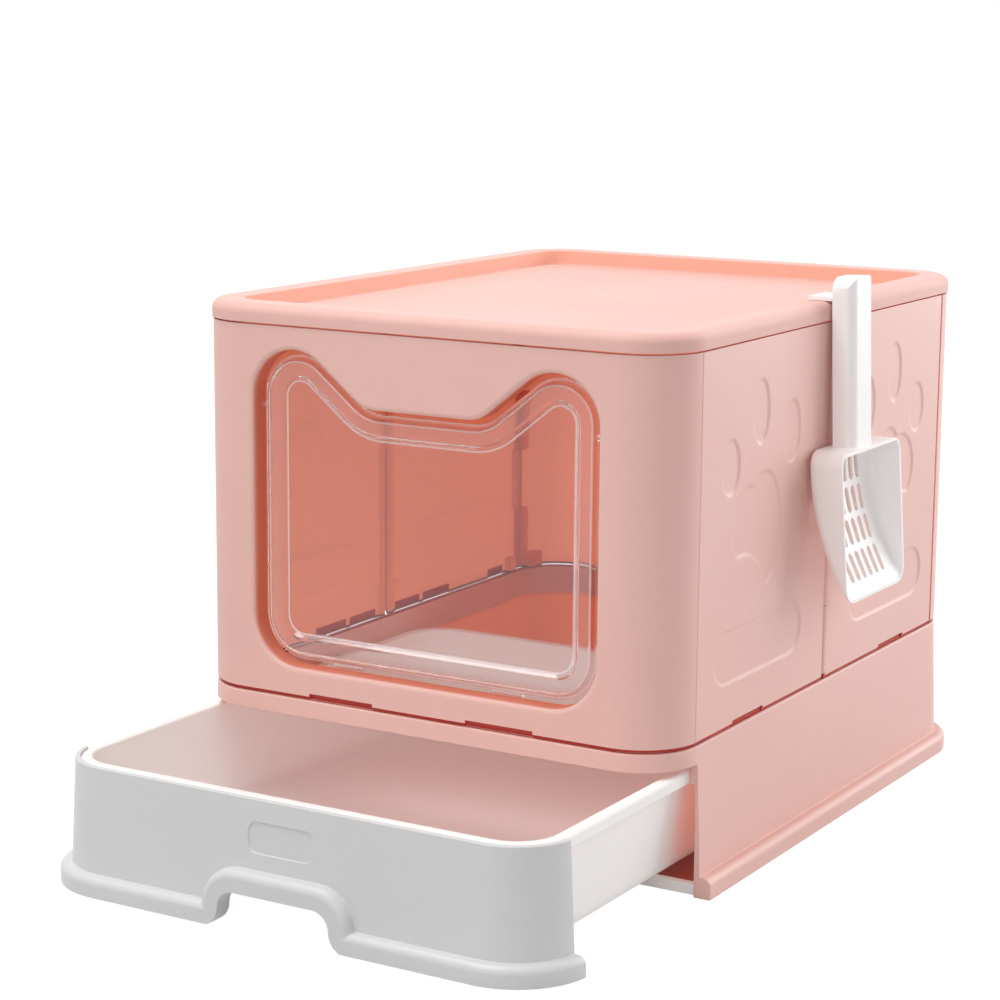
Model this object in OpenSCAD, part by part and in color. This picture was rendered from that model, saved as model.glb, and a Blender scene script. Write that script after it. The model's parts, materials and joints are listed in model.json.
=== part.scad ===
// Folding litter box with a pull-out drawer, a swing door, a lift-off lid and a hanging scoop.
// Millimetres, +Z up. The origin is the middle of the base's underside; the front looks to -Y.

/* [Enclosure] */
// Width over the side walls
box_w = 376.8; // [372:0.2:382]
// Length over the front and rear walls
box_l = 492; // [486:1:498]
// Outer radius of the upright corners
corner_r = 42.5; // [41:0.5:44]
// Thickness of the wall panels
wall_t = 2.8; // [2.6:0.1:3]
// Height of the wall panels
panel_h = 255.5; // [250:0.5:262]
// Depth of the moulded relief on the side panels
relief_d = 1; // [0.6:0.1:1.2]

/* [Folding hinges] */
// Length of each side half between its two hinge axes
half_len = 197.5; // [196:0.5:199]
// How far the corner hinge axes lie inside the outer face
corner_axis_in = 7.4; // [7.2:0.1:8]
// Radius of the corner hinge barrels
corner_barrel_r = 3.2; // [3:0.1:3.3]
// Radius of the corner hinge pins
corner_pin_r = 1.5; // [1.3:0.1:1.6]
// Radius of the middle hinge barrels
mid_barrel_r = 2.4; // [2.3:0.05:2.5]
// Radius of the middle hinge pins
mid_pin_r = 1.2; // [1.1:0.05:1.25]

/* [Base] */
// Height of the base
base_h = 103.4; // [102:0.2:105]
// How much wider each side of the base is above the foot flange than at its top
base_flare = 3.5; // [2.5:0.1:4]
// How far the foot flange stands out
flange_reach = 8.2; // [7:0.1:9]
// Height of the foot flange
flange_h = 14.5; // [13:0.5:16]

/* [Drawer] */
// Width of the tray over its lips
tray_w = 365.4; // [363:0.2:366]
// Length of the tray over its lips
tray_l = 455.5; // [450:0.5:458]
// Height of the drawer above the floor
drawer_h = 86; // [84:0.5:87]
// How far the drawer is pulled out
drawer_out = 158; // [120:1:200]
// Half the width of the finger arch
arch_hw = 42.5; // [36:0.5:48]
// Height of the finger arch
arch_h = 25.5; // [22:0.5:28]

/* [Doorway] */
// Half the width of the doorway
door_hw = 136; // [130:0.5:138]
// Slope of the edges between the ears and the valley, in degrees
ear_slope = 38.7; // [36:0.1:41]
// Gap between the jamb and the flap
door_gap = 4.2; // [3.8:0.1:4.6]

/* [Lid] */
// Height of the lid's rim
lid_h = 12.9; // [12:0.1:15]
// Width of the lid's rim
rim_w = 22.3; // [20:0.1:24]

/* [Scoop] */
// Width of the scoop's bowl at the top
bowl_w = 105; // [98:1:110]
// Height of the scoop's bowl
bowl_h = 104.5; // [98:0.5:108]
// Width of the scoop's handle
handle_w = 37; // [34:0.5:40]

/* [Hidden] */

$fn = 48;
pink = [0.94, 0.77, 0.72];
pale = [0.95, 0.94, 0.94];
clear = [0.95, 0.88, 0.87, 0.45];
steel = [0.62, 0.63, 0.65];
eps = 0.01;

// Plan: the centres of the upright corners are shared by the base, the panels and the lid.
// Below panel_z0 the panels go on as a thin skirt, set back by skirt_in, down to skirt_z0.
half_w = box_w / 2;
half_l = box_l / 2;
cx = half_w - corner_r;
cy = half_l - corner_r;
inner_x = half_w - wall_t;
panel_gap = 2.8;
panel_z0 = base_h + panel_gap;
skirt_z0 = base_h + 0.8;
skirt_in = 1.3;
panel_z1 = panel_z0 + panel_h;
lid_z0 = panel_z1 + 1.2;
lid_z1 = lid_z0 + lid_h;

// Folding hinges: the halves meet at hinge_y, and the corner axes lie half_len before and behind.
hinge_y = -2.5;
mid_x = half_w - wall_t / 2;
corner_x = half_w - corner_axis_in;
half_end = half_len + 6.5;
seam = half_len + 7;
end_chamfer = 0.6;
mid_cut = 3.4;
corner_block = 12;
rib_w = 5;
rib_t = 2;
knuckles = 5;
hinge_z0 = panel_z0 + 2;
hinge_z1 = panel_z1 - 4;
knuckle_h = (hinge_z1 - hinge_z0) / knuckles;
knuckle_gap = 0.5;
running = 0.08;
open_pivot_gap = 0.35;

// Base: o is the distance from a corner's centre.
skin = 2.6;
flange_r = 5.5;
base_o = corner_r + 0.1;
base_edge_r = 1.4;
base_top = base_h - base_edge_r;
seat_o = base_o - 4.5;
seat_z = 77;
end_o = corner_r - 0.7;
ring_z = 90.9;
floor_t = 2.5;
sill_y = -193;
sill_h = 7.6;

// Drawer
front_t = 3;
front_r = 42;
front_flare = 3.4;
front_z0 = 0.8;
front_cx = 145.5;
front_cy = -half_l - drawer_out + front_r;
front_end = -half_l - drawer_out + 36;
front_bot_o = front_r + front_flare;
front_face = front_cy - front_bot_o - 8;
tray_r = 36;
tray_cx = tray_w / 2 - tray_r;
tray_y0 = -half_l - drawer_out + front_t + 0.5;
tray_y1 = tray_y0 + tray_l;
tray_t = 2.5;
tray_z0 = 11;
tray_bend = 15;
tray_wall_top = 30.3;
tray_wall_bot = 23.3;
lip_z0 = 77;
bead_w = 14.5;
arch_r = 12;
arch_foot_r = 13.5;
arch_cx = arch_hw - arch_r;
arch_cz = arch_h - arch_r;

// Doorway: two ears with a valley between them. d is how far a line lies inside the edge.
ear_r = 34.5;
ear_x = door_hw - ear_r;
ear_z = panel_z0 + 206.3;
valley_r = 25;
valley_z = panel_z0 + 204.8;
valley_cz = valley_z + valley_r;
valley_cx = ear_x - (ear_r + valley_r - (valley_cz - ear_z) * cos(ear_slope)) / sin(ear_slope);
foot_r = 36;
foot_x = door_hw - foot_r;
foot_z = panel_z0 + 53.8;
jamb_d = 1;
jamb_t = 2.5;
jamb_back = -half_l + 15.5;
flap_d = jamb_d + door_gap;
flap_t = 2;
bead_h = 3.2;
flap_y = -half_l + 7.7 + bead_h;
pivot_y = flap_y + 0.5;
pivot_z = ear_z - 7;
pivot_r = 2;
boss_r = 5;

// Scoop
scoop_y = 4.5;
bowl_z1 = 275;
bowl_z0 = bowl_z1 - bowl_h;
bowl_t = 2.2;
bowl_top_r = 10;
bowl_tip_r = 13;
bowl_bend = 7;
bowl_back = 190.9;
bowl_run = 31.5;
bowl_rim = 216.5;
slot_w = 6.4;
slot_pitch = 10.7;
handle_x0 = 195;
handle_x1 = 211;
handle_lean = 2.07;
handle_z1 = 393;
handle_r = 8;
hook_z = lid_z1 + 0.3;
hook_x = 171;

// Points along an arc
function arc(c, r, a0, a1, n = 6) =
    [for (i = [0:n]) let (a = a0 + (a1 - a0) * i / n) [c[0] + r * cos(a), c[1] + r * sin(a)]];

function ellipse(a, b, n = 36) = [for (i = [0:n - 1]) [a * cos(360 * i / n), b * sin(360 * i / n)]];

// Outer and inner lines of a foot flange below a wall that stands at o
function foot_out(o, z0, reach) =
    concat([[o + reach, z0]], arc([o + reach - flange_r, flange_h - flange_r], flange_r, 0, 90),
           [[o, flange_h]]);
function foot_in(o, z0, reach, t) =
    concat([[o - t, flange_h - t]],
           arc([o + reach - flange_r, flange_h - flange_r], flange_r - t, 90, 0),
           [[o + reach - t, z0]]);

// Outline of the doorway, d inside its edge, as points in X and Z
function half_outline(d) =
    concat(arc([valley_cx, valley_cz], valley_r + d, -90, ear_slope - 90, 6),
           arc([ear_x, ear_z], ear_r - d, 90 + ear_slope, 0, 16),
           arc([foot_x, foot_z], foot_r - d, 0, -90, 10));
function outline(d) =
    let (h = half_outline(d))
    concat(h, [for (i = [len(h) - 1:-1:0]) [-h[i][0], h[i][1]]]);

// Faces of a tube of rows with n points each; closed joins the last row to the first
function tube_faces(rows, n, closed) =
    [for (k = [0:rows - (closed ? 1 : 2)], i = [0:n - 1])
        let (a = k * n, b = ((k + 1) % rows) * n, j = (i + 1) % n)
        each [[a + i, b + i, b + j], [a + i, b + j, a + j]]];

module both_sides() {
    children();
    mirror([1, 0, 0]) children();
}

// A wall section (o, z) swept along both sides from y0 to y1
module side_runs(x, y0, y1, section) {
    both_sides()
        translate([x, y1, 0])
        rotate([90, 0, 0])
        linear_extrude(y1 - y0)
        polygon(section);
}

// The same section swept across an end that looks to +Y, with its two corners
module end_run(x, section) {
    rotate([0, 0, 90])
        translate([0, x, 0])
        rotate([90, 0, 0])
        linear_extrude(2 * x)
        polygon(section);
    both_sides()
        translate([x, 0, 0])
        rotate_extrude(angle = 90)
        polygon(section);
}

module rear_end(x, y, section) {
    translate([0, y, 0]) end_run(x, section);
}

module front_end_run(x, y, section) {
    translate([0, y, 0]) mirror([0, 1, 0]) end_run(x, section);
}

// The doorway's outline extruded from y0 to y1
module outline_prism(d, y0, y1) {
    translate([0, y1, 0])
        rotate([90, 0, 0])
        linear_extrude(y1 - y0)
        polygon(outline(d));
}

// A closed section [d, y] carried round the doorway's outline
module outline_ring(section) {
    n = len(outline(0));
    polyhedron(
        points = [for (q = section) each [for (p = outline(q[0])) [p[0], q[1], p[1]]]],
        faces = tube_faces(len(section), n, true));
}

/* Base */

// How far out the flared wall stands at height z, up to its rounded top edge
function base_wall(z) = base_o + base_flare * (base_top - z) / (base_top - flange_h);
base_edge = arc([base_o - base_edge_r, base_top], base_edge_r, 0, 90, 3);

base_section = concat(
    foot_out(base_o + base_flare, 0, flange_reach),
    base_edge,
    [[seat_o, base_h], [seat_o, seat_z], [base_wall(seat_z) - skin, seat_z]],
    foot_in(base_o + base_flare, 0, flange_reach, skin));

ring_section = concat(
    [[base_wall(ring_z), ring_z]],
    base_edge,
    [[seat_o, base_h], [seat_o, ring_z]]);

end_plate = concat(
    foot_out(base_o + base_flare, 0, flange_reach),
    [[base_wall(ring_z), ring_z], [end_o, ring_z], [end_o, 0]]);

module base_shell() {
    color(pink) {
        side_runs(cx, -cy, cy, base_section);
        rear_end(cx, cy, base_section);
        front_end_run(cx, -cy, ring_section);
        side_runs(cx, -cy, -cy + skin, end_plate);
    }
}

floor_section = [[0, 0], [base_o + base_flare + flange_reach - skin, 0],
                 [base_o + base_flare + flange_reach - skin, floor_t], [0, floor_t]];

module base_floor() {
    color(pink) {
        side_runs(cx, sill_y, cy, floor_section);
        rear_end(cx, cy, floor_section);
        translate([-cx, sill_y, 0]) cube([2 * cx, cy - sill_y, floor_t]);
    }
}

// Pale sill across the front edge of the floor plate
module base_sill() {
    sill_w = 2 * (cx + end_o) - 1;
    color(pale)
        difference() {
            translate([-sill_w / 2, sill_y - 6, 0]) cube([sill_w, 6, sill_h]);
            translate([-sill_w, sill_y - 3.4, -eps]) cube([2 * sill_w, 2, sill_h - 2.4]);
        }
}

/* Drawer */

tray_section = concat(
    [[0, tray_z0]],
    arc([tray_wall_bot - tray_bend, tray_z0 + tray_bend], tray_bend, -90, 0, 8),
    [[tray_wall_top, drawer_h - tray_t], [tray_r - 2, drawer_h - tray_t], [tray_r - 2, lip_z0],
     [tray_r, lip_z0]],
    arc([tray_r - 3, drawer_h - 3], 3, 0, 90, 4),
    arc([tray_wall_top - tray_t + 1.5, drawer_h - 1.5], 1.5, 90, 180, 3),
    arc([tray_wall_bot - tray_bend, tray_z0 + tray_bend], tray_bend - tray_t, 0, -90, 8),
    [[0, tray_z0 + tray_t]]);

module drawer_tray() {
    y0 = tray_y0 + tray_r;
    y1 = tray_y1 - tray_r;
    color(pale) {
        side_runs(tray_cx, y0, y1, tray_section);
        rear_end(tray_cx, y1, tray_section);
        front_end_run(tray_cx, y0, tray_section);
        translate([-tray_cx, y0, tray_z0]) cube([2 * tray_cx, y1 - y0, tray_t]);
    }
}

front_section = concat(
    foot_out(front_bot_o, front_z0, 8),
    arc([front_r - 1.2, drawer_h - 1.2], 1.2, 0, 90, 3),
    [[front_r - front_t, drawer_h], [front_bot_o - front_t, flange_h + 4]],
    foot_in(front_bot_o, front_z0, 8, front_t));

// Outline of the finger arch, grown by g, in X and Z
function half_arch(g) =
    concat(arc([arch_cx, arch_cz], arch_r + g, 90, 0, 8),
           arc([arch_hw + arch_foot_r, arch_cz], arch_foot_r - g, 180, 270, 6));
function arch_outline(g) =
    let (h = half_arch(g), foot = [[arch_hw + arch_foot_r, -1]])
    concat(h, foot, [[-foot[0][0], -1]], [for (i = [len(h) - 1:-1:0]) [-h[i][0], h[i][1]]]);

module arch_prism(g, y0, y1) {
    translate([0, y1, 0])
        rotate([90, 0, 0])
        linear_extrude(y1 - y0)
        polygon(arch_outline(g));
}

// A section (p, y), p outward from the arch's edge, swept up one side, over and down
module arch_sweep(section) {
    both_sides()
        translate([arch_hw, 0, 0])
        linear_extrude(arch_cz)
        polygon(section);
    both_sides()
        translate([arch_cx, 0, arch_cz])
        rotate([90, 0, 0])
        rotate_extrude(angle = 90)
        polygon([for (q = section) [arch_r + q[0], -q[1]]]);
    translate([arch_cx, 0, arch_h])
        rotate([0, -90, 0])
        linear_extrude(2 * arch_cx)
        polygon(section);
}

bead_section = concat(
    [[0, front_face + 14], [0, front_face]],
    arc([bead_w - flange_r, front_face + flange_r], flange_r, -90, 0),
    [[bead_w, front_face + 14]]);

bead_hollow = [[front_t, front_face + 20], [front_t, front_face + front_t],
               [bead_w - flange_r, front_face + front_t],
               [bead_w - front_t, front_face + flange_r], [bead_w - front_t, front_face + 20]];

// Rounded rectangle in X and Z, extruded t along Y
module rounded_plate(w, h, r, t) {
    rotate([90, 0, 0])
        linear_extrude(t)
        union() {
            square([w - 2 * r, h], center = true);
            square([w, h - 2 * r], center = true);
            for (sx = [-1, 1], sz = [-1, 1])
                translate([sx * (w / 2 - r), sz * (h / 2 - r)]) circle(r);
        }
}

module drawer_front() {
    plate_z = 61.2;
    plate_o = front_r + front_flare * (drawer_h - plate_z) / (drawer_h - flange_h);
    clip_w = 16;
    color(pale) {
        difference() {
            union() {
                front_end_run(front_cx, front_cy, front_section);
                difference() {
                    arch_sweep(bead_section);
                    translate([-bead_w * 9, front_face - 1, -1])
                        cube([bead_w * 18, 40, front_z0 + 1]);
                }
            }
            arch_sweep(bead_hollow);
            arch_prism(0, front_face - 1, front_face + 30);
            translate([-box_w, front_end, -1]) cube([2 * box_w, 60, drawer_h + 2]);
            translate([0, front_cy - plate_o + 1, plate_z])
                rotate([-atan(front_flare / (drawer_h - flange_h)), 0, 0])
                rounded_plate(50, 20.5, 7, 5);
        }
        intersection() {
            difference() {
                arch_prism(front_t, front_face, front_face + 14);
                arch_prism(0, front_face - 1, front_face + 30);
            }
            translate([-bead_w * 9, front_face, front_z0]) cube([bead_w * 18, 40, arch_h + 20]);
        }
        for (x = [-110, 0, 110])
            translate([x - clip_w / 2, front_cy - front_r + front_t - 1, lip_z0 - 7])
                cube([clip_w, 4.5, 7]);
    }
}

/* Folding panels */

panel_section = [[corner_r - wall_t, skirt_z0], [corner_r - skirt_in, skirt_z0],
                 [corner_r - skirt_in, panel_z0], [corner_r, panel_z0], [corner_r, panel_z1],
                 [corner_r - wall_t, panel_z1]];

// Stands children at every second knuckle, from the lowest or from the one above it
module at_knuckles(first) {
    for (i = [first:2:knuckles - 1])
        translate([0, 0, hinge_z0 + i * knuckle_h + knuckle_gap / 2])
            children();
}

module hinge_bore(x, y, r) {
    translate([x, y, hinge_z0 - 1]) cylinder(r = r, h = hinge_z1 - hinge_z0 + 2);
}

// Corner knuckles of the front or rear panel; v runs from the middle hinge towards the panel
module corner_knuckles() {
    h = knuckle_h - knuckle_gap;
    both_sides()
        difference() {
            at_knuckles(0) {
                translate([corner_x, half_len, 0]) cylinder(r = corner_barrel_r, h = h);
                translate([corner_x - corner_barrel_r, half_len, 0])
                    cube([2 * corner_barrel_r, corner_block, h]);
                translate([corner_x - corner_barrel_r, seam + 0.4, 0])
                    cube([inner_x - corner_x + corner_barrel_r + 0.6, 3.35, h]);
            }
            hinge_bore(corner_x, half_len, corner_pin_r + running);
        }
}

// Low pocket in a panel's lower edge, cut from the outer face at y = 0 into the wall along +Y
module edge_notch(w) {
    translate([-w / 2, -5, skirt_z0 - 1]) cube([w, 7, panel_z0 - skirt_z0 + 3.2]);
}

// Shallow rebate along a side half's lower edge, cut from the inner face between v and v + w
module edge_rebate(v, w) {
    translate([inner_x - 5, v, skirt_z0 - 1]) cube([5.8, w, panel_z0 - skirt_z0 + 6.5]);
}

module door_boss() {
    both_sides()
        translate([door_hw - jamb_d, pivot_y, pivot_z])
        rotate([0, 90, 0])
        cylinder(r = boss_r, h = 6);
}

// Soft edge round the doorway, cut as a closed section of [d, y]
flare = [[6, -half_l - 0.4], [-3.4, -half_l - 0.4], [-2.6, -half_l], [-1, -half_l + 0.35],
         [0.2, -half_l + 1], [0.8, -half_l + 1.9], [jamb_d, -half_l + 3], [6, -half_l + 3]];

module front_panel() {
    color(pink)
        difference() {
            union() {
                difference() {
                    front_end_run(cx, -cy, panel_section);
                    translate([-box_w, hinge_y - seam, 0]) cube([2 * box_w, 60, 2 * panel_z1]);
                }
                outline_prism(jamb_d - jamb_t, -half_l + wall_t / 2, jamb_back);
                intersection() {
                    door_boss();
                    translate([-box_w, -half_l + wall_t / 2, 0])
                        cube([2 * box_w, 40, 2 * panel_z1]);
                }
                translate([0, hinge_y, 0]) mirror([0, 1, 0]) corner_knuckles();
            }
            outline_prism(jamb_d, -half_l - 1, jamb_back + 1);
            outline_ring(flare);
            for (x = [-63, 63]) translate([x, -half_l, 0]) edge_notch(52);
            both_sides()
                translate([door_hw - 4, pivot_y, pivot_z])
                rotate([0, 90, 0])
                cylinder(r = pivot_r + running, h = 8);
        }
}

module rear_panel() {
    color(pink)
        difference() {
            union() {
                difference() {
                    rear_end(cx, cy, panel_section);
                    translate([-box_w, 0, 0]) cube([2 * box_w, hinge_y + seam, 2 * panel_z1]);
                }
                translate([0, hinge_y, 0]) corner_knuckles();
            }
            for (x = [-63, 63]) translate([x, half_l, 0]) mirror([0, 1, 0]) edge_notch(52);
        }
}

// Solid inside the panels' inner face, for what is shaped to sit against it
module inside_space(z0, z1) {
    r = corner_r - wall_t;
    section = [[0, z0], [r, z0], [r, z1], [0, z1]];
    rear_end(cx, cy, section);
}

module corner_clips() {
    color(pink)
        intersection() {
            inside_space(skirt_z0, skirt_z0 + 13);
            both_sides()
                translate([174, hinge_y + half_len + corner_block + 0.4, 0])
                cube([20, 18, 2 * panel_z0]);
        }
}

// Print of a paw and a rounded bar below it, in v and z, extruded t along X
module relief(t) {
    toes = [[50, 134, 11.5, 17], [65.5, 187, 13, 21.5], [115, 206.5, 12, 21.5], [160, 175, 13, 18.2]];
    pad = [[107, 126, 27, 39.5], [129.5, 132, 27, 26]];
    bar_end_r = 17.9;
    bar_z = 29.6;
    translate([0, 0, panel_z0])
        rotate([90, 0, 90])
        linear_extrude(t)
        union() {
            for (e = toes) translate([e[0], e[1]]) polygon(ellipse(e[2], e[3]));
            difference() {
                for (e = pad) translate([e[0], e[1]]) polygon(ellipse(e[2], e[3]));
                translate([140, 73]) circle(40);
            }
            translate([61, bar_z]) square([100, 2 * bar_end_r]);
            for (v = [61, 161]) translate([v, bar_z + bar_end_r]) circle(bar_end_r);
        }
}

// One half of a side wall, from the middle hinge at v = 0 to its corner seam
module half_panel(first_mid, corner_bore) {
    h = knuckle_h - knuckle_gap;
    difference() {
        union() {
            translate([inner_x, mid_cut, panel_z0]) cube([wall_t, half_end - mid_cut, panel_h]);
            translate([inner_x, mid_cut, skirt_z0])
                cube([wall_t - skirt_in, half_end - mid_cut, panel_z0 - skirt_z0 + eps]);
            translate([inner_x - rib_t, mid_cut, skirt_z0])
                cube([rib_t, rib_w, panel_z1 - skirt_z0]);
            translate([inner_x - 6, half_len - 13.5, skirt_z0]) cube([6 + eps, 9, 13]);
            translate([inner_x - relief_d * 0.8, 0, 0]) relief(wall_t / 2);
            at_knuckles(first_mid) {
                translate([mid_x, 0, 0]) cylinder(r = mid_barrel_r, h = h);
                translate([inner_x, 0, 0]) cube([wall_t / 2 + 0.4, mid_cut + 0.5, h]);
            }
            at_knuckles(1) {
                translate([corner_x, half_len, 0]) cylinder(r = corner_barrel_r, h = h);
                translate([corner_x, half_len - corner_barrel_r, 0])
                    cube([inner_x - corner_x + 0.5, 2 * corner_barrel_r, h]);
            }
        }
        translate([half_w - relief_d, 0, 0]) relief(wall_t);
        hinge_bore(mid_x, 0, mid_pin_r + running);
        hinge_bore(corner_x, half_len, corner_bore);
        translate([half_w, 125, 0]) rotate([0, 0, 90]) edge_notch(48);
        for (run = [[14, 36], [55, 40], [156, 24]]) edge_rebate(run[0], run[1]);
        translate([half_w, half_end, skirt_z0 - 1])
            rotate([0, 0, 45])
            translate([-end_chamfer / sqrt(2), -3, 0])
            cube([3, 6, panel_h + 20]);
    }
}

// Puts a right-hand half, built along +Y from its middle hinge, in its place
module place_half(side, end) {
    translate([0, hinge_y, 0])
        mirror([side > 0 ? 0 : 1, 0, 0])
        mirror([0, end > 0 ? 0 : 1, 0])
        children();
}

module right_front_side() {
    color(pink) place_half(1, -1) half_panel(1, corner_pin_r + running);
}

module right_rear_side() {
    color(pink) place_half(1, 1) half_panel(0, corner_pin_r + running);
}

module left_front_side() {
    color(pink) place_half(-1, -1) half_panel(1, corner_pin_r + open_pivot_gap);
}

module left_rear_side() {
    color(pink) place_half(-1, 1) half_panel(0, corner_pin_r + running);
}

module hinge_pin(x, y, r) {
    top = hinge_z1 - knuckle_gap / 2;
    color(steel) {
        translate([x, y, hinge_z0 + 0.5]) cylinder(r = r, h = top - hinge_z0);
        translate([x, y, top]) cylinder(r = r + 1, h = 1.2);
    }
}

module right_front_pin() hinge_pin(corner_x, hinge_y - half_len, corner_pin_r);
module right_mid_pin() hinge_pin(mid_x, hinge_y, mid_pin_r);
module right_rear_pin() hinge_pin(corner_x, hinge_y + half_len, corner_pin_r);
module left_front_pin() hinge_pin(-corner_x, hinge_y - half_len, corner_pin_r);
module left_mid_pin() hinge_pin(-mid_x, hinge_y, mid_pin_r);
module left_rear_pin() hinge_pin(-corner_x, hinge_y + half_len, corner_pin_r);

/* Door */

// Hollow bead that stiffens the flap, as closed sections of [d, y]
bead_top = flap_y - bead_h;
bead_outer = [[19.6, flap_y + 0.4], [19, bead_top + 1], [17.4, bead_top], [9.2, bead_top],
              [7.6, bead_top + 1], [7, flap_y + 0.4]];
bead_inner = [[18.2, flap_y + flap_t + 0.1], [17.6, bead_top + 2.4], [16.4, bead_top + 2],
              [10.2, bead_top + 2], [9, bead_top + 2.4], [8.4, flap_y + flap_t + 0.1]];

module door_flap() {
    tab_w = 25;
    color(clear)
        difference() {
            union() {
                outline_prism(flap_d, flap_y, flap_y + flap_t);
                outline_ring(bead_outer);
                for (x = [-63, 63])
                    translate([x - tab_w / 2, flap_y, foot_z - foot_r + flap_d - 2.6])
                        cube([tab_w, flap_t, 5]);
            }
            outline_ring(bead_inner);
            both_sides()
                translate([door_hw - flap_d - 3, pivot_y, pivot_z])
                rotate([0, 90, 0])
                cylinder(r = pivot_r, h = 11);
        }
}

module door_pivots() {
    color(clear)
        both_sides()
        translate([door_hw - flap_d - 3, pivot_y, pivot_z])
        rotate([0, 90, 0])
        cylinder(r = pivot_r, h = 11);
}

/* Lid */

lid_o = corner_r + 0.9;
lid_round = 7;
lid_floor_z = lid_z0 - 0.6;
lid_t = 2.2;
rim_in = lid_o - rim_w;
rim_draft = 2.5;

lid_section = concat(
    [[0, lid_floor_z], [rim_in - rim_draft + lid_t, lid_floor_z],
     [rim_in + lid_t, lid_z1 - lid_t], [lid_o - lid_round, lid_z1 - lid_t]],
    arc([lid_o - lid_round, lid_z1 - lid_round], lid_round - lid_t, 90, 0),
    [[lid_o - lid_t, lid_z0], [lid_o, lid_z0]],
    arc([lid_o - lid_round, lid_z1 - lid_round], lid_round, 0, 90),
    arc([rim_in + 1.5, lid_z1 - 1.5], 1.5, 90, 170, 3),
    [[rim_in - rim_draft, lid_floor_z + 2], [0, lid_floor_z + 2]]);

module lid() {
    tab_w = 20;
    color(pink) {
        side_runs(cx, -cy, cy, lid_section);
        rear_end(cx, cy, lid_section);
        front_end_run(cx, -cy, lid_section);
        translate([-cx, -cy, lid_floor_z]) cube([2 * cx, 2 * cy, 2]);
        for (x = [-110, 110])
            translate([x - tab_w / 2, half_l - 6.6, lid_z0 - 8])
                cube([tab_w, 3, lid_h + 7]);
    }
}

/* Scoop */

// Back plate, rim plane and half width of the bowl at height z
function bowl_back_x(z) = bowl_back + bowl_run * pow((bowl_z1 - z) / bowl_h, 2.05);
function bowl_rim_x(z) = bowl_rim + 7.5 * (bowl_z1 - z) / bowl_h;
function rounded_in(e, r) = e >= r ? 0 : r - sqrt(r * r - (r - e) * (r - e));
function bowl_half(z) =
    bowl_w / 2 - rounded_in(max(0, bowl_z1 - z), bowl_top_r)
    - rounded_in(max(0, z - bowl_z0), bowl_tip_r);

// One level of the bowl: a U open to +X, grown inwards by t and run on by past
function bowl_row(z, t, past) =
    let (zc = min(bowl_z1, max(bowl_z0, z)),
         back = bowl_back_x(zc) + t,
         rim = bowl_rim_x(zc) + past,
         half = bowl_half(zc) - t,
         ex = min(bowl_bend - t, 0.9 * (rim - back)),
         ey = bowl_bend - t)
    [for (p = concat([[rim, -half]],
                     [for (a = [0:15:90]) [back + ex - ex * sin(a), -half + ey - ey * cos(a)]],
                     [for (a = [90:-15:0]) [back + ex - ex * sin(a), half - ey + ey * cos(a)]],
                     [[rim, half]]))
        [p[0], scoop_y + p[1], z]];

function bowl_levels(z0, z1, r0, r1) =
    concat([for (a = [0:18:90]) z0 + r0 * (1 - cos(a))],
           [for (i = [1:6]) z0 + r0 + (z1 - r1 - z0 - r0) * i / 7],
           [for (a = [90:-18:0]) z1 - r1 * (1 - cos(a))]);

module bowl_loft(t, past) {
    rows = [for (z = bowl_levels(bowl_z0 + t, bowl_z1 - t, bowl_tip_r - t, bowl_top_r - t))
        bowl_row(z, t, past)];
    n = len(rows[0]);
    last = (len(rows) - 1) * n;
    polyhedron(
        points = [for (row = rows) each row],
        faces = concat(tube_faces(len(rows), n, false),
                       [[for (i = [n - 1:-1:0]) i], [for (i = [0:n - 1]) last + i]]));
}

// Upright slot through the bowl's back, from z0 to z1
module slot(y, z0, z1) {
    r = slot_w / 2;
    translate([bowl_back - 10, scoop_y + y, 0])
        rotate([90, 0, 90])
        linear_extrude(60)
        union() {
            translate([-r, z0 + r]) square([slot_w, z1 - z0 - slot_w]);
            translate([0, z0 + r]) circle(r);
            translate([0, z1 - r]) circle(r);
        }
}

module slot_row(z0, z1) {
    count = 6;
    for (i = [0:count - 1]) slot((i - (count - 1) / 2) * slot_pitch, z0, z1);
}

// Bar that is rounded along its front edges and over its top
module handle_bar(x0, x1, w, z0, z1, r, top_r) {
    intersection() {
        translate([0, scoop_y, z0])
            linear_extrude(z1 - z0)
            union() {
                translate([x0, -w / 2]) square([x1 - x0 - r, w]);
                translate([x1 - r - eps, -w / 2 + r]) square([r + eps, w - 2 * r]);
                for (s = [-1, 1]) translate([x1 - r, s * (w / 2 - r)]) circle(r);
            }
        translate([x0 - 1, scoop_y, 0])
            rotate([90, 0, 90])
            linear_extrude(x1 - x0 + 2)
            union() {
                translate([-w / 2 - 1, z0 - 1]) square([w + 2, z1 - z0 + 1 - top_r]);
                translate([-w / 2 + top_r, z1 - top_r - eps]) square([w - 2 * top_r, top_r + eps]);
                for (s = [-1, 1]) translate([s * (w / 2 - top_r), z1 - top_r]) circle(top_r);
            }
    }
}

module scoop() {
    tab_w = 28;
    color(pale) {
        difference() {
            bowl_loft(0, 0);
            bowl_loft(bowl_t, 8);
            slot_row(246.5, 264.5);
            slot_row(224.5, 242.5);
            slot_row(204, 221);
            slot_row(181.5, 200);
        }
        translate([handle_x0, 0, bowl_z1])
            rotate([0, -handle_lean, 0])
            translate([-handle_x0, 0, -bowl_z1])
            difference() {
                handle_bar(handle_x0, handle_x1, handle_w, bowl_z1 - 1.4, handle_z1, handle_r, 11);
                handle_bar(handle_x0 - 2, handle_x1 - bowl_t, handle_w - 2 * bowl_t, bowl_z1 + 4,
                           handle_z1 - bowl_t, handle_r - bowl_t, 11 - bowl_t);
            }
        translate([hook_x, scoop_y - tab_w / 2, hook_z])
            cube([handle_x1 - 5 - hook_x, tab_w, 2.8]);
    }
}

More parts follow.
